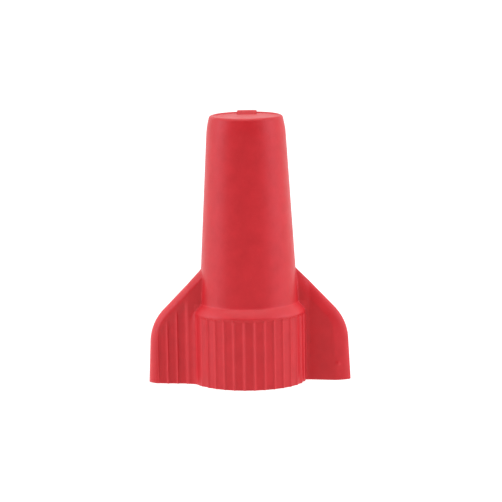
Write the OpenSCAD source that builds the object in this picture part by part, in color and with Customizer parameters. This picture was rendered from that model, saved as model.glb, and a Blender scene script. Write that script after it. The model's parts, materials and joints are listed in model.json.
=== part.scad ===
// Winged twist-on wire connector: a moulded shell with a fluted collar and two finger
// wings, and the conical spring of square wire that grips the twisted conductors inside it.
// Millimetres, +Z up. The origin is the centre of the mouth, on the plane it stands on.
// The wings lie along X. But for the tab on the closed end, a half turn about Z brings the
// shell onto itself.

/* [Shell] */
// Height from the mouth to the rim of the closed end
shell_h = 30; // [29:0.5:33]
// Radius of the collar, over the edges between its flutes
collar_r = 6.3; // [6.2:0.05:6.5]
// Height at which the tube rises from the collar
collar_h = 9; // [8.8:0.1:9.4]
// Radius of the collar's rounded shoulder
shoulder_round = 0.8; // [0.6:0.05:0.8]
// Radius of the tube where it leaves the collar
tube_r = 5.52; // [5.5:0.02:5.6]
// Height at which the tube's taper steepens
knee_z = 27.9; // [27:0.1:28.5]
// Radius of the tube at that height
knee_r = 4.43; // [4.4:0.01:4.5]
// Radius of the closed end, before its edge is rounded
rim_r = 4.15; // [4.05:0.05:4.25]
// Radius of the rounding on the edge of the closed end
rim_round = 0.3; // [0.2:0.05:0.35]
// Chamfer on the outer edge of the foot
foot_chamfer = 0.15; // [0.1:0.05:0.2]

/* [Closed end] */
// Radius of the shallow recess in the closed end
dish_r = 3.55; // [3.4:0.05:3.6]
// Depth of that recess below the rim
dish_depth = 0.2; // [0.1:0.05:0.3]
// Width of the tab that stands at the back of the closed end
tab_w = 2.1; // [1.6:0.1:2.4]
// Distance from the axis to the tab's inner face
tab_start = 2; // [1.5:0.1:2.5]
// Distance from the axis to the tab's outer face, which follows the rim
tab_end = 3.75; // [3.7:0.01:3.78]
// Height of the tab above the rim
tab_rise = 0.2; // [0.1:0.05:0.3]

/* [Flutes] */
// Number of flutes around the collar, counting the few that the wings cover
flute_count = 34; // [32:2:36]
// Angle from the front of the collar to the nearest edge between two flutes
flute_turn = -5.6; // [-9:0.1:9]
// Width of a flute
flute_w = 0.92; // [0.7:0.02:0.94]
// Depth of a flute
flute_depth = 0.2; // [0.12:0.02:0.24]
// Height at which the collar's flutes stop
flute_top = 8.05; // [7:0.05:8.1]

/* [Wings] */
// Distance from the axis to a wing's tip, at the foot
wing_reach = 11.33; // [11:0.01:12]
// Height at which a wing's sloping edge leaves the tube
wing_top = 12.55; // [12:0.05:13.6]
// Angle of the sloping edge below the horizontal
wing_slope = 46.3; // [45:0.1:48]
// Angle by which the outer edge leans in as it rises
wing_lean = 2.6; // [0:0.1:3]
// Radius of the curve between the sloping and the outer edge
wing_corner = 5.5; // [4:0.1:5.8]
// Offset of the ribbed face from the middle plane, at the root
ribbed_root = 1.35; // [1.2:0.05:1.4]
// Offset of the plain face from the middle plane, at the root
plain_root = 0.2; // [0.15:0.05:0.4]
// Offset of the plain face from the middle plane, at the tip
plain_tip = 0.95; // [0.8:0.05:1]
// Radius of the tip towards the ribbed face
ribbed_tip_round = 1.5; // [1.2:0.1:1.6]
// Radius of the tip towards the plain face
plain_tip_round = 0.5; // [0.3:0.1:0.6]
// Radius of the fillet between the collar and the ribbed face
root_fillet = 1; // [0.8:0.1:1.1]
// Number of flutes in a wing's ribbed face
wing_flutes = 3; // [1:1:3]
// Distance from the axis to the middle of a wing's first flute
wing_flute_start = 7.5; // [7.4:0.1:7.6]
// Spacing of a wing's flutes
wing_flute_pitch = 1.07; // [1:0.01:1.1]
// Width of the smooth border between a wing's flutes and its edge
wing_border = 1.15; // [0.8:0.05:1.4]

/* [Mouth and cavity] */
// Radius of the mouth, which takes the insulated wires
mouth_r = 5.1; // [5:0.05:5.2]
// Height at which the mouth starts to narrow
mouth_depth = 7.4; // [7.2:0.1:7.6]
// Chamfer at the entry of the mouth
lead_in = 0.35; // [0.2:0.05:0.4]
// Radius inside the lip that keeps the spring from coming out
lip_r = 3.95; // [3.9:0.01:4]
// Radius of the spring cavity at its wide end
cavity_r = 4.45; // [4.4:0.05:4.5]
// Radius of the spring cavity at its narrow end
cavity_end_r = 3.3; // [3.25:0.05:3.35]
// Height of the roof of the cavity
cavity_top = 27.8; // [27.6:0.1:28]
// Number of ribs that hold the spring off the cavity's wall
grip_ribs = 6; // [4:1:8]
// Width of a grip rib
grip_rib_w = 0.6; // [0.4:0.1:0.8]
// How far a grip rib stands out of the cavity's wall
grip_rib_h = 0.25; // [0.2:0.05:0.25]

/* [Spring] */
// Side of the spring's square wire
wire = 0.85; // [0.7:0.05:0.9]
// Number of turns
spring_turns = 13; // [10:1:13]
// Rise of the spring in one turn
spring_pitch = 1.2; // [1.05:0.05:1.2]
// Gap between the spring and the grip ribs
spring_gap = 0.03; // [0.02:0.01:0.06]

/* [Hidden] */
$fn = 96;
// How far a cutter runs past the face it opens
over = 1;
// Steps in a quarter turn of a rounded outline
arc_steps = 8;

// Heights of the lip between the mouth and the spring cavity
lip_z = mouth_depth + 1.1;
lip_land = 0.3;
cavity_z = lip_z + lip_land + 0.2;
// Height at which the cavity starts to close towards its roof
cavity_end_z = 26.4;
// Height at which the grip ribs, which rise out of the lip, end
grip_rib_top = 26;
// Radius of the flat middle of the roof
roof_r = 2;

// Radius of the round cutter that leaves a flute of the wanted width and depth
flute_cut_r = (pow(flute_w / 2, 2) + pow(flute_depth, 2)) / (2 * flute_depth);
// How far a flute cutter's axis stands off the face it cuts
flute_cut_off = flute_cut_r - flute_depth;

// Where the sloping and the outer edge of a wing would meet
slope_t = tan(wing_slope);
lean_t = tan(wing_lean);
edge_meet_z = (wing_top - slope_t * (wing_reach - tube_r)) / (1 - slope_t * lean_t);
edge_meet_x = wing_reach - lean_t * edge_meet_z;

// Ribbed face at the start of the tip's rounding
tip_axis_y = -plain_tip + plain_tip_round;
ribbed_tip_x = wing_reach - ribbed_tip_round;
ribbed_tip_y = tip_axis_y + ribbed_tip_round;
// Distance from the axis at which the wing's faces begin to spread or close in
root_x = 6.8;
// Distance from the axis at which the wing's solid starts, inside the wall
wing_start = 4.6;
// How far the root fillet reaches into the collar, so that the two surfaces cross
fillet_bite = 0.04;
// Axis of the root fillet, which crosses the collar and touches the ribbed face
fillet_y = ribbed_root + root_fillet;
fillet_x = sqrt(pow(collar_r + root_fillet - fillet_bite, 2) - pow(fillet_y, 2));

// Spring: height of its lowest face, and the outer radius and taper that fit its cavity
spring_z = cavity_z + 0.15;
spring_steps = 24;
cavity_taper = (cavity_r - cavity_end_r) / (cavity_end_z - cavity_z);
spring_r = cavity_r - grip_rib_h - spring_gap - cavity_taper * 0.3;

// Points of an arc about c, from angle a to angle b
function arc(c, r, a, b) =
    [for (i = [0:arc_steps]) let (t = a + (b - a) * i / arc_steps)
        c + r * [cos(t), sin(t)]];

// Half section of the outside of the shell, as [radius, height]
function outside() = concat(
    [[0, 0], [collar_r - foot_chamfer, 0], [collar_r, foot_chamfer]],
    arc([collar_r - shoulder_round, collar_h - shoulder_round], shoulder_round, 0, 90),
    [[tube_r, collar_h], [knee_r, knee_z]],
    arc([rim_r - rim_round, shell_h - rim_round], rim_round, 0, 90),
    [[dish_r + dish_depth / 2, shell_h], [dish_r, shell_h - dish_depth],
     [0, shell_h - dish_depth]]);

// Half section of the hollow, as [radius, height]
function hollow() =
    [[0, -over], [mouth_r + lead_in, -over], [mouth_r + lead_in, 0],
     [mouth_r, lead_in], [mouth_r, mouth_depth],
     [lip_r, lip_z], [lip_r, lip_z + lip_land],
     [cavity_r, cavity_z], [cavity_end_r, cavity_end_z],
     [roof_r, cavity_top], [0, cavity_top]];

// Outline of a wing seen from the front, with its edges moved inwards by inset.
// The corner is rounded about the same axis whatever the inset.
function wing_outline(inset) =
    let (
        turn = 90 - wing_lean - wing_slope,
        reach = wing_corner * tan(turn / 2),
        axis = [edge_meet_x, edge_meet_z]
            + reach * [sin(wing_lean), -cos(wing_lean)]
            - wing_corner * [cos(wing_lean), sin(wing_lean)],
        r = wing_corner - inset,
        foot_x = wing_reach - inset / cos(wing_lean),
        top_x = tube_r - over,
        top_z = wing_top - inset / cos(wing_slope) + slope_t * over)
    concat(
        [[0, 0], [foot_x, 0]],
        arc(axis, r, wing_lean, 90 - wing_slope),
        [[top_x, top_z], [0, top_z]]);

// Section of a wing seen from above
function wing_plan() = concat(
    [[wing_start, -plain_root], [root_x, -plain_root]],
    arc([wing_reach - plain_tip_round, tip_axis_y], plain_tip_round, -90, 0),
    arc([ribbed_tip_x, tip_axis_y], ribbed_tip_round, 0, 90),
    [[root_x, ribbed_root], [wing_start, ribbed_root]]);

// Offset of the ribbed face from the middle plane, at a distance x from the axis
function ribbed_y(x) =
    ribbed_root - (ribbed_root - ribbed_tip_y) * (x - root_x) / (ribbed_tip_x - root_x);

// A slab across the middle plane with a wing's outline
module wing_slab(inset = 0) {
    rotate([90, 0, 0])
        linear_extrude(4 * root_fillet + 4 * ribbed_root, center = true)
            polygon(wing_outline(inset));
}

// One wing, on the +X side, with its plain face towards -Y
module wing() {
    intersection() {
        wing_slab();
        linear_extrude(2 * wing_top) polygon(wing_plan());
    }
    linear_extrude(collar_h - shoulder_round)
        difference() {
            polygon([
                [wing_start, ribbed_root / 2],
                [fillet_x, ribbed_root / 2],
                [fillet_x, fillet_y],
                [fillet_x, fillet_y] * wing_start / collar_r]);
            translate([fillet_x, fillet_y]) circle(root_fillet);
        }
}

// Cutters for the flutes in a wing's ribbed face
module wing_flute_cutters() {
    intersection() {
        wing_slab(inset = wing_border);
        for (i = [0:wing_flutes - 1])
            let (x = wing_flute_start + i * wing_flute_pitch)
                translate([x, ribbed_y(x) + flute_cut_off, -over])
                    cylinder(h = wing_top + over, r = flute_cut_r);
    }
}

// Tube and collar, with the collar's flutes
module fluted_body() {
    difference() {
        rotate_extrude() polygon(outside());
        for (i = [0:flute_count - 1])
            rotate(flute_turn - 90 + 360 * (i + 0.5) / flute_count)
                translate([collar_r + flute_cut_off, 0, -over])
                    cylinder(h = flute_top + over, r = flute_cut_r);
    }
}

// Tab at the back of the closed end, out of the recess and over the rim
module tab() {
    base_z = shell_h - dish_depth - over / 2;
    translate([0, 0, base_z])
        linear_extrude(shell_h + tab_rise - base_z)
            intersection() {
                translate([-tab_w / 2, tab_start]) square([tab_w, tab_end]);
                circle(tab_end);
            }
}

// The hollow, less the ribs that stand out of the cavity's wall
module hollow_with_ribs() {
    difference() {
        rotate_extrude() polygon(hollow());
        difference() {
            for (i = [0:grip_ribs - 1])
                rotate(360 * i / grip_ribs)
                    translate([0, -grip_rib_w / 2, lip_z])
                        cube([cavity_r + over, grip_rib_w, grip_rib_top - lip_z]);
            rotate_extrude()
                polygon([
                    [0, cavity_z - over],
                    [cavity_r - grip_rib_h + cavity_taper * over, cavity_z - over],
                    [cavity_end_r - grip_rib_h - cavity_taper * over, cavity_end_z + over],
                    [0, cavity_end_z + over]]);
        }
    }
}

// Moulded plastic shell
module shell() {
    color("firebrick")
        difference() {
            union() {
                fluted_body();
                tab();
                for (side = [0, 180]) rotate(side) wing();
            }
            hollow_with_ribs();
            for (side = [0, 180]) rotate(side) wing_flute_cutters();
        }
}

// Corners of the wire's section at a step along the coil, one step after another
function wire_corners(step) =
    let (
        turn = 360 * step / spring_steps,
        z = spring_z + spring_pitch * step / spring_steps,
        outer = spring_r - cavity_taper * (z + wire / 2 - spring_z))
    [for (corner = [[0, 0], [0, wire], [-wire, wire], [-wire, 0]])
        [(outer + corner.x) * cos(turn), (outer + corner.x) * sin(turn), z + corner.y]];

// Conical spring of square wire, wound up from its wide end
module spring() {
    last = spring_turns * spring_steps;
    sides = [for (i = [0:last - 1], k = [0:3])
        let (a = 4 * i + k, b = 4 * i + (k + 1) % 4)
            [a, b, b + 4, a + 4]];
    color("silver")
        polyhedron(
            points = [for (i = [0:last]) each wire_corners(i)],
            faces = concat([[3, 2, 1, 0]], sides, [[for (k = [0:3]) 4 * last + k]]),
            convexity = 10);
}

shell();
spring();
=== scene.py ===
"""Winged twist-on wire connector: the looks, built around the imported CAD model.

Shapes are worked out in millimetres in the CAD's own frame and written to Blender in metres.
"""

import json
import math

import bmesh
import bpy
import numpy as np
from mathutils import Matrix, Vector


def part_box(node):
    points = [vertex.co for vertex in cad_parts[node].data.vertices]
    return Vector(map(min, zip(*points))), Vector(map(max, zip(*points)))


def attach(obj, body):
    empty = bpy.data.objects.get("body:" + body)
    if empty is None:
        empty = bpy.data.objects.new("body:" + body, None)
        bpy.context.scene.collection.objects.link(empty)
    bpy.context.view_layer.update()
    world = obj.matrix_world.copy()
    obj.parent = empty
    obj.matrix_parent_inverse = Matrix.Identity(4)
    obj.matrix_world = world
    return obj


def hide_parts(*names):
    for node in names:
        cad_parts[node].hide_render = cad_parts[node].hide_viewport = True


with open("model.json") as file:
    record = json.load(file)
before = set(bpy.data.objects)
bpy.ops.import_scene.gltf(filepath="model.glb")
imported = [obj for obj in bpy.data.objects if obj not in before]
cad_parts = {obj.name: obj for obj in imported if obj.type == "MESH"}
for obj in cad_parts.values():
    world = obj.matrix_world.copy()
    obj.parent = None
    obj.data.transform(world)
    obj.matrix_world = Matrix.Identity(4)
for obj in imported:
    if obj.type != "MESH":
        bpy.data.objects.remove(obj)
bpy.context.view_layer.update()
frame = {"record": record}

MM = 0.001
shell_high = np.array(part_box("shell")[1]) / MM
spring_low, spring_high = (np.array(corner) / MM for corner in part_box("spring"))
mouth = next(m for m in frame["record"]["mounts"] if m["name"] == "wire_mouth")

# --- Driving sizes, in millimetres and radians ------------------------------------------------

# Tube and collar. The shell's highest place is the tab on its closed end, above the rim
TAB_RISE = 0.2
RIM_Z = shell_high[2] - TAB_RISE
COLLAR_R = shell_high[1]
COLLAR_Z = 9.0
# The shoulder starts with a tight bend, of a radius and of so many degrees. A nearly straight
# slope follows, and a small cove where it meets the tube. The cove ends at an angle, in degrees,
# where it is about as steep as the tube
SHOULDER_Z = 7.93
SHOULDER_BEND = (0.4, 30)
SHOULDER_SLOPE_R = 3.2
COVE_R = 0.12
COVE_END = 183
TUBE_R = 5.52
TAPER = 0.0575
KNEE_Z = 27.9
KNEE_BEND = 0.06
RIM_ROUND = 0.38
# How far above the cove and below the rim the tube's own points start and stop
TUBE_START, TUBE_STOP = 0.1, 0.5
# Rounding of the foot's edge, all round and at a wing's ribbed tip, and where and over what
# width it changes from the one to the other
FOOT_ROUND = 0.12
FOOT_TIP_ROUND = 0.45
FOOT_TIP_X, FOOT_TIP_W = 9.6, 1.4

# Closed end: a shallow recess with a sloping wall, and the tab
DISH_R = 3.55
DISH_DEPTH = 0.13
DISH_WALL = 0.14
TAB_W = 2.2
TAB_START = 2.1
TAB_END = 3.75
TAB_TURN = math.radians(-2.4)
TAB_CORNER = 0.15
TAB_ROUND = 0.09

# Flutes
FLUTE_COUNT = 34
FLUTE_TURN = math.radians(-5.6)
FLUTE_W = 1.1
FLUTE_DEPTH = 0.15
# How square a flute's section is, and how soft its edges are
FLUTE_POWER = 6
FLUTE_SOFTNESS = 0.2
FLUTE_TOP = 7.8
FLUTE_FADE = 0.3
# How far round from a wing's ribbed face the flutes come up to their full depth. The flute that
# a wing's plain face would cut through is left out
FLUTE_CLEAR = math.radians(11)

# Wings
REACH = shell_high[0]
TIP_X = REACH - 1.0
WING_TOP = 12.55
SLOPE = math.radians(46.3)
LEAN = math.radians(2.6)
CORNER = 5.5
# Offsets of the two faces and of the ridge between them, at the root and at the tip
ROOT_X = 6.8
RIBBED_ROOT, RIBBED_TIP = 1.65, 1.2
PLAIN_ROOT, PLAIN_TIP = -0.2, -0.95
RIDGE_START = TUBE_R - 0.2
RIDGE_ROOT, RIDGE_TIP = 0.5, -0.05
# Width of the bevelled edge on each face, along the slope and along the outer edge, and how
# much of the bevel is flat on each face, where the rest of it is rounded
RIBBED_BEVEL = (0.65, 0.85)
PLAIN_BEVEL = (1.25, 1.7)
RIBBED_FLAT, PLAIN_FLAT = 0.25, 0.6
BEVEL_SOFTNESS = 0.06
# The ribbed fillet narrows to the tube's, from so far below the shoulder and over such a height
RIBBED_FILLET, TUBE_FILLET, PLAIN_FILLET = 0.9, 0.15, 0.12
FILLET_FADE = (0.9, 1.6)
# Angles between which the outline follows the collar alone: the wing lies between them
PLAIN_END = math.radians(-9.5)
RIBBED_END = math.radians(27)
WING_FLUTES = 3
WING_FLUTE_START = 7.54
WING_FLUTE_PITCH = 1.09
WING_FLUTE_W = 1.0
WING_FLUTE_DEPTH = 0.18
# Width of the plain border round the flutes and how softly they end there, along the slope and
# along the outer edge
WING_BORDER = (1.3, 0.78)
WING_FLUTE_FADE = (0.9, 0.4)

# Marks left by the mould: a nib on each plain face, a nick over a flute, a tick on the shoulder
# and a thin line round the foot of the tube. The turns are from the front
NIB_X, NIB_Z, NIB_R, NIB_RISE = 9.9, 1.85, 0.22, 0.12
NICK_TURN, NICK_Z = math.radians(-16.2), 7.62
NICK_W, NICK_H, NICK_RISE = 0.6, 0.16, 0.07
TICK_TURN, TICK_Z = math.radians(18.5), 8.83
TICK_W, TICK_H, TICK_RISE = 0.14, 0.3, 0.05
WITNESS_LIFT, WITNESS_H, WITNESS_RISE = 0.05, 0.12, 0.02

# Mouth and cavity
MOUTH_R = mouth["dims"]["r_mm"]
LEAD_IN = 0.35
MOUTH_DEPTH = LEAD_IN + mouth["dims"]["length_mm"]
LIP_R = 3.95
LIP_Z = 8.5
CAVITY_R, CAVITY_Z = 4.45, 9.0
CAVITY_END_R, CAVITY_END_Z = 3.3, 26.4
ROOF_R, ROOF_Z = 2.0, 27.8
GRIP_RIBS = 6
GRIP_RIB_W = 0.6
GRIP_RIB_H = 0.25
GRIP_RIB_TOP = 26.0

# Spring
WIRE = 0.85
WIRE_ROUND = 0.16
TURNS = 13

# How much painted highlight lies on the shoulder and the wings' edges, where the edges between
# flutes count as 1, and how far in from a wing's edge the painted highlight goes
SHOULDER_HIGHLIGHT = 0.6
EDGE_HIGHLIGHT, EDGE_HIGHLIGHT_W = 0.7, 0.3

# --- Mesh resolution --------------------------------------------------------------------------

# Steps in the parts of the half section
BEND_STEPS, SLOPE_STEPS, COVE_STEPS, TUBE_STEPS, RIM_STEPS = 5, 8, 6, 70, 7

# Places of the columns across a flute, closest together beside its edges
FLUTE_COLUMNS = (0, 0.035, 0.075, 0.13, 0.22, 0.36, 0.5, 0.64, 0.78, 0.87, 0.925, 0.965)
# Columns in a wing's root fillets, on the ribbed and on the plain side, and how many samples
# they are spaced by
ROOT_COLUMNS = (40, 12)
ROOT_SAMPLES = 200
# Columns that crowd at a wing's tip, how strongly, and the depth they are squeezed into
TIP_COLUMNS = 12
TIP_CROWDING = 0.92
TIP_SQUEEZE = 0.3
# How far to each side a wing's faces are searched for, and how near the axis the search for
# its tip starts
FACE_SEARCH = 9.0
TIP_SEARCH = 3.0
HOLLOW_COLUMNS = 180
SPRING_STEPS = 40
BISECTIONS = 34


# --- Small helpers ----------------------------------------------------------------------------

def smooth_step(t):
    """Rises smoothly from 0 at t = 0 to 1 at t = 1."""
    t = np.clip(t, 0, 1)
    return t * t * (3 - 2 * t)


def mix(a, b, t):
    """a at t = 0 and b at t = 1."""
    return a + (b - a) * t


def soft_positive(t, softness):
    """t where it is positive and 0 where it is negative, with the corner between them rounded."""
    return (t + np.sqrt(t * t + softness * softness)) / 2


def soft_min(a, b, reach):
    """The smaller of a and b, blended where they are within reach of each other."""
    reach = np.maximum(reach, 1e-6)
    h = np.clip(0.5 + 0.5 * (b - a) / reach, 0, 1)
    return mix(b, a, h) - reach * h * (1 - h)


def quarter(t):
    """A quarter circle's height: 0 at t = 0, where it stands upright, and 1 from t = 1 on."""
    t = np.clip(t, 0, 1)
    return np.sqrt(1 - (1 - t) ** 2)


def bevel(t, flatness):
    """Height of a bevel with a rounded outer edge: 0 at t = 0 and 1 from t = 1 on."""
    flat = np.clip(1 - soft_positive(1 - t, BEVEL_SOFTNESS), 0, 1)
    return mix(quarter(t), flat, flatness)


def bump(across, up, width, height):
    """A soft bump, 1 in its middle and nearly 0 beyond its width and height."""
    return np.exp(-(2 * across / width) ** 2 - (2 * up / height) ** 2)


def arc(centre, radius, start, end, steps):
    """Points along an arc, given in degrees."""
    angles = np.radians(np.linspace(start, end, steps + 1))
    return [
        (centre[0] + radius * math.cos(a), centre[1] + radius * math.sin(a)) for a in angles
    ]


def bisect(inside, outside, field):
    """Where field turns positive on the way from inside to outside."""
    for _ in range(BISECTIONS):
        middle = (inside + outside) / 2
        within = field(middle) < 0
        inside = np.where(within, middle, inside)
        outside = np.where(within, outside, middle)
    return (inside + outside) / 2


# --- Outside of the shell ---------------------------------------------------------------------

def tube_radius(z):
    """Radius of the tube at a height, tapering faster above its knee."""
    return TUBE_R - TAPER * (z - COLLAR_Z) - KNEE_BEND * max(z - KNEE_Z, 0) ** 2


def outside_profile():
    """Half section of the tube and collar as (radius, height), from the foot up to the rim."""
    bend_r, bend_end = SHOULDER_BEND
    bend = arc((COLLAR_R - bend_r, SHOULDER_Z), bend_r, 0, bend_end, BEND_STEPS)
    turn = math.radians(bend_end)
    centre = (
        bend[-1][0] - SHOULDER_SLOPE_R * math.cos(turn),
        bend[-1][1] - SHOULDER_SLOPE_R * math.sin(turn),
    )
    across = TUBE_R + COVE_R - centre[0]
    up = math.sqrt((SHOULDER_SLOPE_R + COVE_R) ** 2 - across ** 2)
    meet = math.degrees(math.atan2(up, across))
    slope = arc(centre, SHOULDER_SLOPE_R, bend_end, meet, SLOPE_STEPS)[1:]
    cove_centre = (TUBE_R + COVE_R, centre[1] + up)
    cove = arc(cove_centre, COVE_R, meet + 180, COVE_END, COVE_STEPS)[1:]
    tube_z = np.linspace(cove[-1][1] + TUBE_START, RIM_Z - TUBE_STOP, TUBE_STEPS)
    tube = [(tube_radius(z), z) for z in tube_z]
    top_r = tube_radius(RIM_Z - RIM_ROUND) - RIM_ROUND
    rim = arc((top_r, RIM_Z - RIM_ROUND), RIM_ROUND, 0, 90, RIM_STEPS)
    return [(COLLAR_R, 0.0), *bend, *slope, *cove, *tube, *rim]


PROFILE = np.array(outside_profile())
# The thin line round the foot of the tube is at the top of the cove
WITNESS_Z = PROFILE[PROFILE[:, 0] > TUBE_R + 0.01, 1].max() + WITNESS_LIFT


def outer_radius(z):
    """Radius of the tube and collar at a height, without flutes."""
    return np.interp(z, PROFILE[:, 1], PROFILE[:, 0])


def flute_cut(across, width, depth):
    """How deep a flat-bottomed flute is at a distance across from its middle."""
    place = np.minimum(np.abs(2 * across / width), 2)
    return depth * soft_positive(1 - place ** FLUTE_POWER, FLUTE_SOFTNESS)


def collar_radius(phi, z):
    """Radius of the tube and collar at an angle phi from +X, flutes included."""
    pitch = 2 * math.pi / FLUTE_COUNT
    edge = FLUTE_TURN - math.pi / 2
    across = ((phi - edge) % pitch - pitch / 2) * COLLAR_R
    fade = smooth_step((FLUTE_TOP + FLUTE_FADE / 2 - z) / FLUTE_FADE)
    from_wing = (phi - RIBBED_END + FLUTE_CLEAR) % math.pi - FLUTE_CLEAR
    last = math.pi - RIBBED_END + FLUTE_TURN - pitch / 2
    fade = fade * smooth_step(from_wing / FLUTE_CLEAR) * (from_wing < last)
    from_front = phi + math.pi / 2
    from_nick = (from_front - NICK_TURN) * COLLAR_R
    from_tick = (from_front - TICK_TURN) * COLLAR_R
    marks = NICK_RISE * bump(from_nick, z - NICK_Z, NICK_W, NICK_H)
    marks = marks + TICK_RISE * bump(from_tick, z - TICK_Z, TICK_W, TICK_H)
    marks = marks + WITNESS_RISE * bump(0, z - WITNESS_Z, 1, WITNESS_H)
    return outer_radius(z) - flute_cut(across, FLUTE_W, FLUTE_DEPTH) * fade + marks


# The corner of a wing's outline is an arc that touches the sloping and the outer edge
_meet_z = (WING_TOP - math.tan(SLOPE) * (REACH - TUBE_R)) / (1 - math.tan(SLOPE) * math.tan(LEAN))
_meet_x = REACH - math.tan(LEAN) * _meet_z
_reach = CORNER * math.tan((math.pi / 2 - LEAN - SLOPE) / 2)
CORNER_X = _meet_x + _reach * math.sin(LEAN) - CORNER * math.cos(LEAN)
CORNER_Z = _meet_z - _reach * math.cos(LEAN) - CORNER * math.sin(LEAN)


def wing_edge(x, z):
    """How far a point is inside a wing's outline, and its place along the edge.

    The place is 0 on the sloping edge and 1 on the outer edge.
    """
    from_slope = (WING_TOP - math.tan(SLOPE) * (x - TUBE_R) - z) * math.cos(SLOPE)
    from_outer = (REACH - math.tan(LEAN) * z - x) * math.cos(LEAN)
    angle = np.arctan2(z - CORNER_Z, x - CORNER_X)
    slope_angle = math.pi / 2 - SLOPE
    on_corner = (angle > LEAN) & (angle < slope_angle)
    from_corner = CORNER - np.hypot(x - CORNER_X, z - CORNER_Z)
    edge = np.where(on_corner, from_corner, np.minimum(from_slope, from_outer))
    return edge, smooth_step((slope_angle - angle) / (slope_angle - LEAN))


def ridge(x):
    """Offset of a wing's ridge, where its two faces meet at the edge."""
    return np.interp(x, (RIDGE_START, ROOT_X, REACH), (0, RIDGE_ROOT, RIDGE_TIP))


def bordered(edge, along):
    """How far the flutes of a wing are let in: 0 on its border and 1 well inside."""
    return smooth_step((edge - mix(*WING_BORDER, along)) / mix(*WING_FLUTE_FADE, along) + 0.5)


def wing_faces(x, z):
    """Offsets of a wing's plain and ribbed faces, and how far the point is inside its outline."""
    edge, along = wing_edge(x, z)
    out = np.clip((x - ROOT_X) / (TIP_X - ROOT_X), 0, 1.1)
    inside = np.maximum(edge, 0)
    ribbed = mix(RIBBED_ROOT, RIBBED_TIP, out)
    plain = mix(PLAIN_ROOT, PLAIN_TIP, out)
    middle = ridge(x)
    ribbed = middle + (ribbed - middle) * bevel(inside / mix(*RIBBED_BEVEL, along), RIBBED_FLAT)
    plain = middle + (plain - middle) * bevel(inside / mix(*PLAIN_BEVEL, along), PLAIN_FLAT)
    plain = plain - NIB_RISE * bump(x - NIB_X, z - NIB_Z, 2 * NIB_R, 2 * NIB_R)
    let_in = bordered(edge, along)
    for i in range(WING_FLUTES):
        across = x - WING_FLUTE_START - i * WING_FLUTE_PITCH
        ribbed = ribbed - flute_cut(across, WING_FLUTE_W, WING_FLUTE_DEPTH) * let_in
    return plain, ribbed, edge


def shell_field(x, y, z):
    """Roughly how far a point is outside the shell, for the half with the +X wing."""
    body = np.hypot(x, y) - collar_radius(np.arctan2(y, x), z)
    plain, ribbed, edge = wing_faces(x, z)
    middle = ridge(x)
    across = np.maximum(y - ribbed, plain - y)
    wing = np.where(edge > 0, across, np.hypot(np.abs(y - middle), edge))
    below, height = FILLET_FADE
    narrowed = smooth_step((z - SHOULDER_Z + below) / height)
    ribbed_fillet = mix(RIBBED_FILLET, TUBE_FILLET, narrowed)
    fillet = np.where(y > middle, ribbed_fillet, PLAIN_FILLET) * smooth_step(edge)
    return soft_min(body, wing, fillet) + foot_inset(x, y, z)


def foot_inset(x, y, z):
    """How far the rounded edge of the foot pulls the outline in: more on a wing's ribbed tip."""
    on_ribbed_side = smooth_step((y - ridge(x)) / 0.5 + 0.3)
    at_tip = smooth_step((x - FOOT_TIP_X) / FOOT_TIP_W) * on_ribbed_side
    radius = mix(FOOT_ROUND, FOOT_TIP_ROUND, at_tip)
    up = np.clip((radius - z) / radius, 0, 1)
    return radius * (1 - np.sqrt(1 - up * up))


# Where the columns of a wing's faces stand, out from its root. The last ones crowd at the tip
_flute_edges = WING_FLUTE_START + WING_FLUTE_PITCH * (np.arange(WING_FLUTES) - 0.5)
_crowd = 0.5 * (1 - np.linspace(0, TIP_CROWDING, TIP_COLUMNS)) ** 2
_last = REACH + TIP_SQUEEZE * (1 / _crowd - 2)
_first_x = ROOT_X - 0.2
_last_x = REACH - 0.05
RIBBED_PLACES = np.concatenate([
    np.linspace(_first_x, _flute_edges[0], 4)[:-1],
    (_flute_edges[:, None] + WING_FLUTE_PITCH * np.array(FLUTE_COLUMNS)).ravel(),
    np.linspace(_flute_edges[-1] + WING_FLUTE_PITCH, _last_x, 15),
    _last,
])
PLAIN_PLACES = np.concatenate([
    np.linspace(_first_x, NIB_X - 2 * NIB_R, 20)[:-1],
    np.linspace(NIB_X - 2 * NIB_R, NIB_X + 2 * NIB_R, 12)[:-1],
    np.linspace(NIB_X + 2 * NIB_R, _last_x, 14),
    _last,
])


def drawn_in(places, tip):
    """Places along a wing, with those near and beyond its tip drawn in to just inside it."""
    inside = (tip - places) / TIP_SQUEEZE
    return tip - TIP_SQUEEZE * np.where(inside > 1, inside, 1 / np.maximum(2 - inside, 1))


def resample(points, count):
    """The same polyline with count points, evenly spaced."""
    steps = np.hypot(*np.diff(points, axis=0).T)
    along = np.concatenate([[0], np.cumsum(steps)])
    wanted = np.linspace(0, along[-1], count)
    return np.stack([np.interp(wanted, along, points[:, k]) for k in (0, 1)], axis=1)


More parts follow.
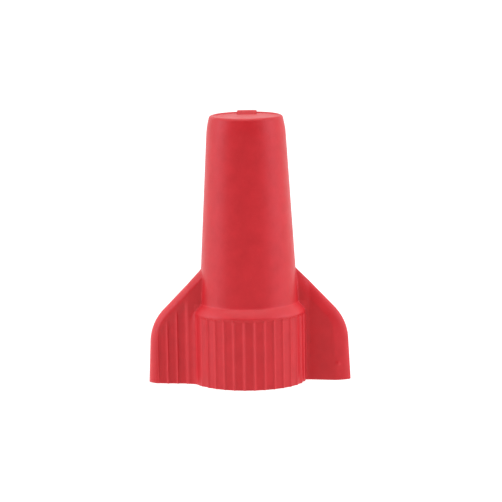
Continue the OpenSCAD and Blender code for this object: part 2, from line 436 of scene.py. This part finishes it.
def outline(z):
    """The shell's outline at a height, as a closed loop of points.

    It starts beside the -X wing's ribbed face and goes round by the front. The second half of
    the loop is the first one turned by half a turn.
    """

    def on_collar(phi):
        """Points of the tube or collar at angles from +X."""
        r = collar_radius(phi, z) - foot_inset(0, 0, z)
        return np.stack([r * np.cos(phi), r * np.sin(phi)], axis=-1)

    def face(x, far):
        """Points of the wing's face towards y = far, at distances x from the axis."""
        y = bisect(ridge(x), np.full_like(x, far), lambda y: shell_field(x, y, z))
        return np.stack([x, y], axis=1)

    def on_ridge(x):
        """How far the ridge at x is outside the shell: 0 is at the tip."""
        return shell_field(x, ridge(x), z)

    def side(angle, far, places, root_columns):
        """Points of one side of the wing, from the collar to just before the tip."""
        start = on_collar(angle)
        out = face(drawn_in(places, tip), far)
        root = face(np.linspace(start[0], out[0, 0], ROOT_SAMPLES)[1:], far)
        root = resample(np.concatenate([[start], root]), root_columns)
        return np.concatenate([root[:-1], out])

    pitch = 2 * math.pi / FLUTE_COUNT
    flutes = FLUTE_TURN - math.pi / 2 + pitch * np.arange(-FLUTE_COUNT, FLUTE_COUNT)
    phis = (flutes[:, None] + pitch * np.array(FLUTE_COLUMNS)).ravel()
    margin = math.radians(0.3)
    phis = phis[(phis > RIBBED_END - math.pi + margin) & (phis < PLAIN_END - margin)]
    tip = float(bisect(np.array(TIP_SEARCH), np.array(REACH + 1), on_ridge))
    ribbed = side(RIBBED_END, FACE_SEARCH, RIBBED_PLACES, ROOT_COLUMNS[0])
    plain = side(PLAIN_END, -FACE_SEARCH, PLAIN_PLACES, ROOT_COLUMNS[1])
    half = np.concatenate([on_collar(phis), plain, [[tip, float(ridge(tip))]], ribbed[::-1]])
    return np.concatenate([half, -half])


def outline_heights():
    """Heights of the outlines, closest together where the shape changes fastest."""
    foot = FOOT_ROUND * (1 - np.cos(np.radians(np.linspace(0, 90, 5))))
    foot_tip = np.linspace(FOOT_ROUND, FOOT_TIP_ROUND, 5)
    nib = np.linspace(NIB_Z - 0.45, NIB_Z + 0.45, 11)
    straight = [0.7, 1.1, *nib, 2.8, 3.6]
    corner = [*np.linspace(4.4, 7.5, 18), 7.56]
    flute_ends = FLUTE_TOP + FLUTE_FADE * np.linspace(-0.6, 0.55, 8)
    on_shoulder = (PROFILE[:, 1] > flute_ends[-1] + 0.02) & (PROFILE[:, 1] < COLLAR_Z + 0.45)
    profile = PROFILE[on_shoulder, 1]
    slope = np.linspace(COLLAR_Z + 0.5, WING_TOP + 0.5, 29)
    tube = np.linspace(WING_TOP + 1.2, KNEE_Z, 13)
    knee = np.linspace(KNEE_Z + 0.35, RIM_Z - TUBE_STOP, 5)
    rim = PROFILE[PROFILE[:, 1] > RIM_Z - RIM_ROUND - 0.01, 1]
    heights = np.concatenate([
        foot, foot_tip, straight, corner, flute_ends, profile, slope, tube, knee, rim,
    ])
    heights = np.unique(np.round(heights, 5))
    apart = np.diff(heights) > 0.004
    return heights[np.concatenate([[True], apart])]


# --- Mesh building ----------------------------------------------------------------------------

class Skin:
    """A mesh put together from rings of points."""

    def __init__(self):
        self.bm = bmesh.new()

    def ring(self, points, z):
        """A closed ring of points at a height, or at heights of their own."""
        heights = np.broadcast_to(z, len(points))
        return [
            self.bm.verts.new((p[0] * MM, p[1] * MM, h * MM)) for p, h in zip(points, heights)
        ]

    def join(self, low, high):
        """Faces between two rings with the same number of points.

        They face outwards when the rings run anticlockwise and high is above low.
        """
        for i in range(len(low)):
            j = (i + 1) % len(low)
            self.bm.faces.new((low[i], low[j], high[j], high[i]))

    def loft(self, rings):
        """Faces between each ring and the next."""
        for low, high in zip(rings, rings[1:]):
            self.join(low, high)

    def fill(self, *rings):
        """Flat faces between rings that lie in one plane, or inside a single ring."""
        edges = []
        for ring in rings:
            for a, b in zip(ring, ring[1:] + ring[:1]):
                edges.append(self.bm.edges.get((a, b)) or self.bm.edges.new((a, b)))
        bmesh.ops.triangle_fill(self.bm, use_beauty=True, edges=edges)

    def finish(self, name):
        """A smooth-shaded object made from the faces so far."""
        bmesh.ops.recalc_face_normals(self.bm, faces=self.bm.faces)
        mesh = bpy.data.meshes.new(name)
        self.bm.to_mesh(mesh)
        self.bm.free()
        mesh.polygons.foreach_set("use_smooth", [True] * len(mesh.polygons))
        piece = bpy.data.objects.new(name, mesh)
        bpy.context.scene.collection.objects.link(piece)
        return piece


def circle(radius, phis):
    """Points of a circle round the axis, at angles from +X."""
    return np.stack([radius * np.cos(phis), radius * np.sin(phis)], axis=1)


def add_closed_end(skin, rim):
    """The recess in the closed end, inside the ring of points at the rim."""
    points = np.array([v.co[:] for v in rim])
    phis = np.arctan2(points[:, 1], points[:, 0])
    floor_z = RIM_Z - DISH_DEPTH
    edge_r = DISH_R + DISH_WALL
    section = [
        (edge_r + 0.05, RIM_Z),
        (edge_r, RIM_Z - 0.012),
        (edge_r - 0.03, RIM_Z - 0.035),
        (DISH_R + 0.03, floor_z + 0.03),
        (DISH_R - 0.01, floor_z + 0.008),
        (DISH_R - 0.08, floor_z),
    ]
    rings = [rim] + [skin.ring(circle(r, phis), z) for r, z in section]
    skin.loft(rings)
    skin.fill(rings[-1])


def tab_outline(grow, start):
    """Outline of the tab on the closed end, anticlockwise.

    It is moved outwards by grow, and its near side is at y = start.
    """
    corner = TAB_CORNER + grow
    half = TAB_W / 2 - TAB_CORNER
    outer = TAB_END + grow
    reach = math.degrees(math.asin((TAB_W / 2 + grow) / outer))
    points = np.array(
        arc((-half, start + TAB_CORNER), corner, 180, 270, 4)
        + arc((half, start + TAB_CORNER), corner, 270, 360, 4)
        + arc((0, 0), outer, 90 - reach, 90 + reach, 16)
    )
    cos, sin = math.cos(TAB_TURN), math.sin(TAB_TURN)
    return points @ np.array([[cos, sin], [-sin, cos]])


def add_tab(shell):
    """Unites the shell with the tab at the back of its closed end. The tab's near side slopes."""
    skin = Skin()
    top = RIM_Z + TAB_RISE
    foot = RIM_Z - 2 * DISH_DEPTH
    rings = [skin.ring(tab_outline(0, TAB_START), foot)]
    for degrees in (0, 22, 45, 67, 90):
        a = math.radians(degrees)
        grow = TAB_ROUND * (math.cos(a) - 1)
        z = top + TAB_ROUND * (math.sin(a) - 1)
        rings.append(skin.ring(tab_outline(grow, TAB_START + z - foot), z))
    skin.loft(rings)
    skin.fill(rings[0])
    skin.fill(rings[-1])
    tab = skin.finish("tab")
    union = shell.modifiers.new("union", "BOOLEAN")
    union.operation = "UNION"
    union.solver = "EXACT"
    union.object = tab
    bare = shell.data
    shell.data = bpy.data.meshes.new_from_object(
        shell.evaluated_get(bpy.context.evaluated_depsgraph_get())
    )
    shell.modifiers.clear()
    bpy.data.objects.remove(tab)
    bpy.data.meshes.remove(bare)
    shell.data.name = shell.name


def paint_highlights(shell):
    """Stores how much painted highlight each place of the shell gets, from 0 to 1.

    The painted highlight goes on what stands out: the edges between flutes, the shoulder, the thin
    line round the foot of the tube and the wings' edges.
    """
    points = np.array([v.co[:] for v in shell.data.vertices]) / MM
    x, y, z = points.T
    phi = np.arctan2(y, x)
    pitch = 2 * math.pi / FLUTE_COUNT
    across = ((phi - FLUTE_TURN + math.pi / 2) % pitch - pitch / 2) * COLLAR_R
    rib = 1 - flute_cut(across, FLUTE_W, FLUTE_DEPTH) / FLUTE_DEPTH
    radius = np.hypot(x, y)
    on_collar = (radius > COLLAR_R - 0.3) & (radius < COLLAR_R + 0.05)
    # Painted highlight on the edges between the collar's flutes, fading out towards their tops
    worn = rib * on_collar * smooth_step((FLUTE_TOP - z) / FLUTE_FADE)
    on_tube = np.abs(radius - TUBE_R) < 0.12
    # Painted highlight along the thin line round the foot of the tube
    worn = worn + bump(0, z - WITNESS_Z, 1, 0.14) * on_tube
    # Painted highlight on the shoulder
    on_shoulder = smooth_step((z - SHOULDER_Z) / 0.2) * smooth_step((WITNESS_Z - z) / 0.1 + 0.5)
    worn = worn + SHOULDER_HIGHLIGHT * on_shoulder * (radius < COLLAR_R + 0.05)
    x, y = np.abs(x), np.sign(x) * y
    edge, along = wing_edge(x, z)
    rib = np.ones_like(x)
    for i in range(WING_FLUTES):
        across = x - WING_FLUTE_START - i * WING_FLUTE_PITCH
        rib = rib - flute_cut(across, WING_FLUTE_W, WING_FLUTE_DEPTH) / WING_FLUTE_DEPTH
    first = WING_FLUTE_START - WING_FLUTE_PITCH / 2
    last = first + WING_FLUTES * WING_FLUTE_PITCH
    fluted = (y > ridge(x)) & (x > first - 0.15) & (x < last + 0.05)
    # Painted highlight on the edges between a wing's flutes and along a wing's edges
    rib = rib * fluted * bordered(edge, along)
    on_edge = EDGE_HIGHLIGHT * np.exp(-(edge / EDGE_HIGHLIGHT_W) ** 2)
    highlight_amount = np.where(x > ROOT_X, np.maximum(rib, on_edge), worn)
    layer = shell.data.attributes.new("worn", "FLOAT", "POINT")
    layer.data.foreach_set("value", np.clip(highlight_amount, 0, 1).astype(np.float32))


def sharpen_end(shell):
    """Marks the sharp edges in the closed end, around the foot of the tab."""
    bm = bmesh.new()
    bm.from_mesh(shell.data)
    for edge in bm.edges:
        if edge.verts[0].co.z > (RIM_Z - 1.2 * DISH_DEPTH) * MM and len(edge.link_faces) == 2:
            edge.smooth = edge.calc_face_angle() < math.radians(40)
    bm.to_mesh(shell.data)
    bm.free()


def cavity_radius(z):
    """Radius of the tapering spring cavity at a height."""
    return mix(CAVITY_R, CAVITY_END_R, (z - CAVITY_Z) / (CAVITY_END_Z - CAVITY_Z))


def hollow_profile():
    """Half section of the hollow as (radius, height), from the mouth up to the roof."""
    lead_in = [
        (MOUTH_R + LEAD_IN + 0.04, 0.0),
        (MOUTH_R + LEAD_IN, 0.02),
        (MOUTH_R + 0.04, LEAD_IN - 0.04),
    ]
    bore = [(MOUTH_R, z) for z in (LEAD_IN + 0.06, 2.5, 5.0, MOUTH_DEPTH - 0.12)]
    funnel = [
        (MOUTH_R - 0.09, MOUTH_DEPTH + 0.09),
        (LIP_R + 0.12, LIP_Z - 0.11),
        (LIP_R + 0.02, LIP_Z + 0.03),
    ]
    lip = [
        (LIP_R, LIP_Z + 0.12),
        (LIP_R, LIP_Z + 0.24),
        (LIP_R + 0.05, LIP_Z + 0.31),
        (CAVITY_R - 0.06, CAVITY_Z - 0.04),
        (CAVITY_R, CAVITY_Z + 0.06),
    ]
    cavity_z = [*np.linspace(10, GRIP_RIB_TOP - 0.3, 12)]
    cavity_z += [GRIP_RIB_TOP - 0.1, GRIP_RIB_TOP, GRIP_RIB_TOP + 0.08]
    cavity = [(cavity_radius(z), z) for z in cavity_z]
    roof = [
        (CAVITY_END_R, CAVITY_END_Z),
        (CAVITY_END_R - 0.05, CAVITY_END_Z + 0.08),
        (ROOF_R + 0.08, ROOF_Z - 0.1),
        (ROOF_R - 0.06, ROOF_Z - 0.02),
        (ROOF_R - 0.2, ROOF_Z),
    ]
    return lead_in + bore + funnel + lip + cavity + roof


def add_hollow(skin):
    """The mouth, the lip, the spring cavity with its grip ribs, and the roof.

    Returns the ring at the mouth.
    """
    phis = np.linspace(0, 2 * math.pi, HOLLOW_COLUMNS, endpoint=False)
    spacing = 2 * math.pi / GRIP_RIBS
    off_rib = ((phis + spacing / 2) % spacing) - spacing / 2
    rings = []
    for r, z in hollow_profile():
        on_rib = smooth_step((GRIP_RIB_W / 2 + 0.06 - np.abs(off_rib) * r) / 0.12)
        on_rib = on_rib * float(smooth_step((GRIP_RIB_TOP - z) / 0.1 + 0.5))
        ribbed = np.where(z > LIP_Z, np.minimum(r, cavity_radius(z) - GRIP_RIB_H), r)
        rings.append(skin.ring(circle(1, phis) * mix(r, ribbed, on_rib)[:, None], z))
    skin.loft([ring[::-1] for ring in rings])
    skin.fill(rings[-1])
    return rings[0]


def make_shell():
    """The moulded shell, outside and inside, as one closed mesh."""
    skin = Skin()
    rings = [skin.ring(outline(z), z) for z in outline_heights()]
    skin.loft(rings)
    add_closed_end(skin, rings[-1])
    skin.fill(rings[0], add_hollow(skin))
    shell = skin.finish("connector_shell")
    add_tab(shell)
    sharpen_end(shell)
    paint_highlights(shell)
    return shell


def make_spring():
    """Conical spring of square wire with rounded corners, wound up from its wide end."""
    skin = Skin()
    near, far = WIRE_ROUND, WIRE - WIRE_ROUND
    corners = []
    for i, centre in enumerate(((-near, near), (-near, far), (-far, far), (-far, near))):
        corners += arc(centre, WIRE_ROUND, 90 * i - 90, 90 * i, 3)
    pitch = (spring_high[2] - spring_low[2] - WIRE) / TURNS
    taper = (CAVITY_R - CAVITY_END_R) / (CAVITY_END_Z - CAVITY_Z)
    wide = spring_high[0] + taper * WIRE / 2
    rings = []
    for step in range(TURNS * SPRING_STEPS + 1):
        turn = 2 * math.pi * step / SPRING_STEPS
        base = spring_low[2] + pitch * step / SPRING_STEPS
        outer = wide - taper * (base + WIRE / 2 - spring_low[2])
        points = [((outer + r) * math.cos(turn), (outer + r) * math.sin(turn)) for r, _ in corners]
        rings.append(skin.ring(points, [base + up for _, up in corners]))
    skin.loft(rings)
    skin.bm.faces.new(rings[0][::-1])
    skin.bm.faces.new(rings[-1])
    spring = skin.finish("wire_spring")
    add_wire_map(spring.data, len(corners))
    return spring


def add_wire_map(mesh, around):
    """Coordinates along and around the wire, for its streaks."""
    layer = mesh.uv_layers.new(name="wire")
    for polygon in mesh.polygons:
        indices = [mesh.loops[i].vertex_index for i in polygon.loop_indices]
        seam = max(i % around for i in indices) - min(i % around for i in indices) > 1
        for loop, index in zip(polygon.loop_indices, indices):
            place = index % around
            place += around if seam and place == 0 else 0
            layer.data[loop].uv = (index // around / SPRING_STEPS, place / around)


# --- Materials --------------------------------------------------------------------------------

RED_DEEP = (0.52, 0.013, 0.019, 1)
RED_BRIGHT = (0.58, 0.016, 0.023, 1)
RED_SPECK = (0.62, 0.05, 0.06, 1)
# The lighter red below is painted highlight, put on the edges that stand out
RED_PAINTED_HIGHLIGHT = (0.76, 0.056, 0.067, 1)
STEEL_DULL = (0.50, 0.50, 0.48, 1)
STEEL_BRIGHT = (0.68, 0.68, 0.66, 1)


def new_material(name):
    """A node material, its shader, a function that adds a linked node, and the links."""
    material = bpy.data.materials.new(name)
    material.use_nodes = True
    nodes, links = material.node_tree.nodes, material.node_tree.links
    shader = nodes["Principled BSDF"]

    def add(kind, inputs=None, **settings):
        node = nodes.new(kind)
        for key, value in settings.items():
            setattr(node, key, value)
        for key, value in (inputs or {}).items():
            if isinstance(value, bpy.types.NodeSocket):
                links.new(value, node.inputs[key])
            else:
                node.inputs[key].default_value = value
        return node

    return material, shader, add, links


def vary(add, source, low, high, start=0.3, end=0.7):
    """A value that runs from low to high while source runs from start to end."""
    node = add("ShaderNodeMapRange", {
        "Value": source, "From Min": start, "From Max": end, "To Min": low, "To Max": high,
    })
    return node.outputs["Result"]


def noise(add, where, scale, detail=3.0, roughness=0.55):
    """Noise over the places where, with a scale in blobs per metre."""
    settings = {"Vector": where, "Scale": scale, "Detail": detail, "Roughness": roughness}
    return add("ShaderNodeTexNoise", settings).outputs["Fac"]


def blend(add, factor, a, b):
    """Two colours mixed by a factor."""
    node = add("ShaderNodeMix", data_type="RGBA")
    links = node.id_data.links
    for socket, value in zip((node.inputs[0], node.inputs[6], node.inputs[7]), (factor, a, b)):
        if isinstance(value, bpy.types.NodeSocket):
            links.new(value, socket)
        else:
            socket.default_value = value
    return node.outputs[2]


def red_plastic():
    """Moulded red plastic: cloudy colour, a fine satin grain, painted highlights on the edges that
    stand out and a few scuffs.
    """
    material, shader, add, links = new_material("red_plastic")
    where = add("ShaderNodeTexCoord").outputs["Object"]
    clouds = noise(add, where, 650.0)
    specks = noise(add, where, 4200.0, detail=2.0)
    colour = blend(add, vary(add, clouds, 0.0, 1.0), RED_DEEP, RED_BRIGHT)
    colour = blend(add, vary(add, specks, 0.0, 0.12, 0.62, 0.75), colour, RED_SPECK)
    # Painted highlight: the red is made lighter by the amount stored on the shell's points
    worn = add("ShaderNodeAttribute", attribute_name="worn").outputs["Fac"]
    colour = blend(add, vary(add, worn, 0.0, 0.45, 0.0, 1.0), colour, RED_PAINTED_HIGHLIGHT)
    links.new(colour, shader.inputs["Base Color"])
    stretched = add("ShaderNodeMapping", {"Vector": where, "Scale": (1.0, 1.0, 0.12)})
    scuffs = noise(add, stretched.outputs["Vector"], 2600.0, detail=4.0)
    scuffs = vary(add, scuffs, 0.0, 0.1, 0.6, 0.72)
    satin = vary(add, noise(add, where, 900.0, detail=4.0), 0.38, 0.47)
    rough = add("ShaderNodeMath", operation="ADD")
    links.new(satin, rough.inputs[0])
    links.new(scuffs, rough.inputs[1])
    links.new(rough.outputs["Value"], shader.inputs["Roughness"])
    shader.inputs["Specular IOR Level"].default_value = 0.32
    grain = noise(add, where, 11000.0, detail=2.0)
    waves = noise(add, where, 1400.0, detail=2.0)
    coarse = add("ShaderNodeBump", {"Height": waves, "Strength": 0.25, "Distance": 0.00003})
    fine = add("ShaderNodeBump", {
        "Height": grain, "Strength": 0.3, "Distance": 0.000006, "Normal": coarse.outputs["Normal"],
    })
    links.new(fine.outputs["Normal"], shader.inputs["Normal"])
    return material


def spring_steel():
    """Drawn and plated steel wire: fine streaks along the wire and cloudy plating."""
    material, shader, add, links = new_material("spring_steel")
    along = add("ShaderNodeUVMap", uv_map="wire").outputs["UV"]
    where = add("ShaderNodeTexCoord").outputs["Object"]
    stretched = add("ShaderNodeMapping", {"Vector": along, "Scale": (0.6, 14.0, 1.0)})
    streaks = noise(add, stretched.outputs["Vector"], 2.5, detail=5.0)
    clouds = noise(add, where, 1200.0, detail=4.0)
    colour = blend(add, vary(add, clouds, 0.0, 1.0), STEEL_DULL, STEEL_BRIGHT)
    links.new(colour, shader.inputs["Base Color"])
    shader.inputs["Metallic"].default_value = 1.0
    links.new(vary(add, streaks, 0.24, 0.42), shader.inputs["Roughness"])
    ridges = add("ShaderNodeBump", {"Height": streaks, "Strength": 0.3, "Distance": 0.00001})
    links.new(ridges.outputs["Normal"], shader.inputs["Normal"])
    return material


# --- Camera, light and stage ------------------------------------------------------------------

# How far the camera is in front of the origin and above it, in millimetres, how it is turned,
# and the focal length of its lens in millimetres
CAMERA_BACK = 340.0
CAMERA_UP = 66.5
CAMERA_PITCH = math.radians(-8.66)
CAMERA_YAW = math.radians(-0.058)
CAMERA_ROLL = math.radians(-0.93)
CAMERA_LENS = 220.6

# Brightness of the light tent on the front side and behind the connector, and the Y parts of
# the directions between which it changes
TENT_FRONT, TENT_BACK = 0.25, 1.1
TENT_FADE = (-0.8, 0.5)

# Half the floor's side in metres, its grey, and its glow out in front and near the connector,
# with the places along Y, in metres, between which the glow changes
FLOOR_HALF = 2.0
FLOOR_GREY = 0.15
GLOW_FRONT, GLOW_NEAR = 0.4, 1.06
GLOW_FADE = (-0.3, -0.05)

# Softboxes as name, place, size, power and colour, in metres and watts
COOL = (0.97, 0.95, 1.12)
SOFTBOXES = (
    ("softbox_left", (-0.355, -0.05, 0.12), (0.24, 0.34), 0.6, COOL),
    ("softbox_right", (0.335, -0.085, 0.13), (0.26, 0.34), 0.6, COOL),
    ("softbox_top", (0, -0.06, 0.45), (0.5, 0.5), 1.35, (1, 1, 1)),
)
SOFTBOX_AIM = (0, 0, 0.012)


def add_camera():
    """The camera at the photo's viewing angle."""
    data = bpy.data.cameras.new("camera")
    data.lens = CAMERA_LENS
    data.clip_start, data.clip_end = 0.01, 10
    camera = bpy.data.objects.new("camera", data)
    turn = (
        Matrix.Rotation(CAMERA_YAW, 4, "Z")
        @ Matrix.Rotation(math.pi / 2 + CAMERA_PITCH, 4, "X")
        @ Matrix.Rotation(CAMERA_ROLL, 4, "Z")
    )
    camera.matrix_world = Matrix.Translation((0, -CAMERA_BACK * MM, CAMERA_UP * MM)) @ turn
    bpy.context.scene.collection.objects.link(camera)
    bpy.context.scene.camera = camera


def add_softbox(name, place, size, power, colour):
    """An area light that faces the connector and isn't seen itself."""
    data = bpy.data.lights.new(name, "AREA")
    data.color = colour
    data.shape = "RECTANGLE"
    data.size, data.size_y = size
    data.energy = power
    light = bpy.data.objects.new(name, data)
    light.location = place
    towards = Vector(SOFTBOX_AIM) - Vector(place)
    light.rotation_euler = towards.to_track_quat("-Z", "Y").to_euler()
    light.visible_camera = False
    bpy.context.scene.collection.objects.link(light)


def set_range(node, source, target):
    """Sets the two ranges between which a Map Range node maps its value."""
    node.inputs["From Min"].default_value, node.inputs["From Max"].default_value = source
    node.inputs["To Min"].default_value, node.inputs["To Max"].default_value = target


def add_floor():
    """A pale floor that glows, so that it stays white, and less so out in front."""
    mesh = bpy.data.meshes.new("floor")
    h = FLOOR_HALF
    mesh.from_pydata([(-h, -h, 0), (h, -h, 0), (h, h, 0), (-h, h, 0)], [], [(0, 1, 2, 3)])
    floor = bpy.data.objects.new("floor", mesh)
    bpy.context.scene.collection.objects.link(floor)
    material, shader, add, links = new_material("pale_floor")
    shader.inputs["Base Color"].default_value = (FLOOR_GREY, FLOOR_GREY, FLOOR_GREY, 1)
    shader.inputs["Roughness"].default_value = 0.9
    shader.inputs["Emission Color"].default_value = (1, 1, 1, 1)
    where = add("ShaderNodeTexCoord").outputs["Object"]
    place = add("ShaderNodeSeparateXYZ", {"Vector": where})
    glow = add("ShaderNodeMapRange", {"Value": place.outputs["Y"]})
    set_range(glow, GLOW_FADE, (GLOW_FRONT, GLOW_NEAR))
    links.new(glow.outputs["Result"], shader.inputs["Emission Strength"])
    mesh.materials.append(material)


def add_tent():
    """A white light tent all round, dimmer on the front side."""
    world = bpy.data.worlds.new("studio")
    world.use_nodes = True
    nodes, links = world.node_tree.nodes, world.node_tree.links
    direction = nodes.new("ShaderNodeSeparateXYZ")
    links.new(nodes.new("ShaderNodeTexCoord").outputs["Generated"], direction.inputs["Vector"])
    tent = nodes.new("ShaderNodeMapRange")
    tent.interpolation_type = "SMOOTHSTEP"
    set_range(tent, TENT_FADE, (TENT_FRONT, TENT_BACK))
    links.new(direction.outputs["Y"], tent.inputs["Value"])
    nodes["Background"].inputs["Color"].default_value = (1, 1, 1, 1)
    links.new(tent.outputs["Result"], nodes["Background"].inputs["Strength"])
    bpy.context.scene.world = world


# --- Putting it together ----------------------------------------------------------------------

add_camera()
add_floor()
add_tent()
for softbox in SOFTBOXES:
    add_softbox(*softbox)
bpy.context.scene.view_settings.view_transform = "Standard"

for make, node, slot, material in (
    (make_shell, "shell", "shell_plastic", red_plastic),
    (make_spring, "spring", "spring_steel", spring_steel),
):
    piece = make()
    piece.data.materials.append(material())
    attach(piece, "root")
    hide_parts(node)
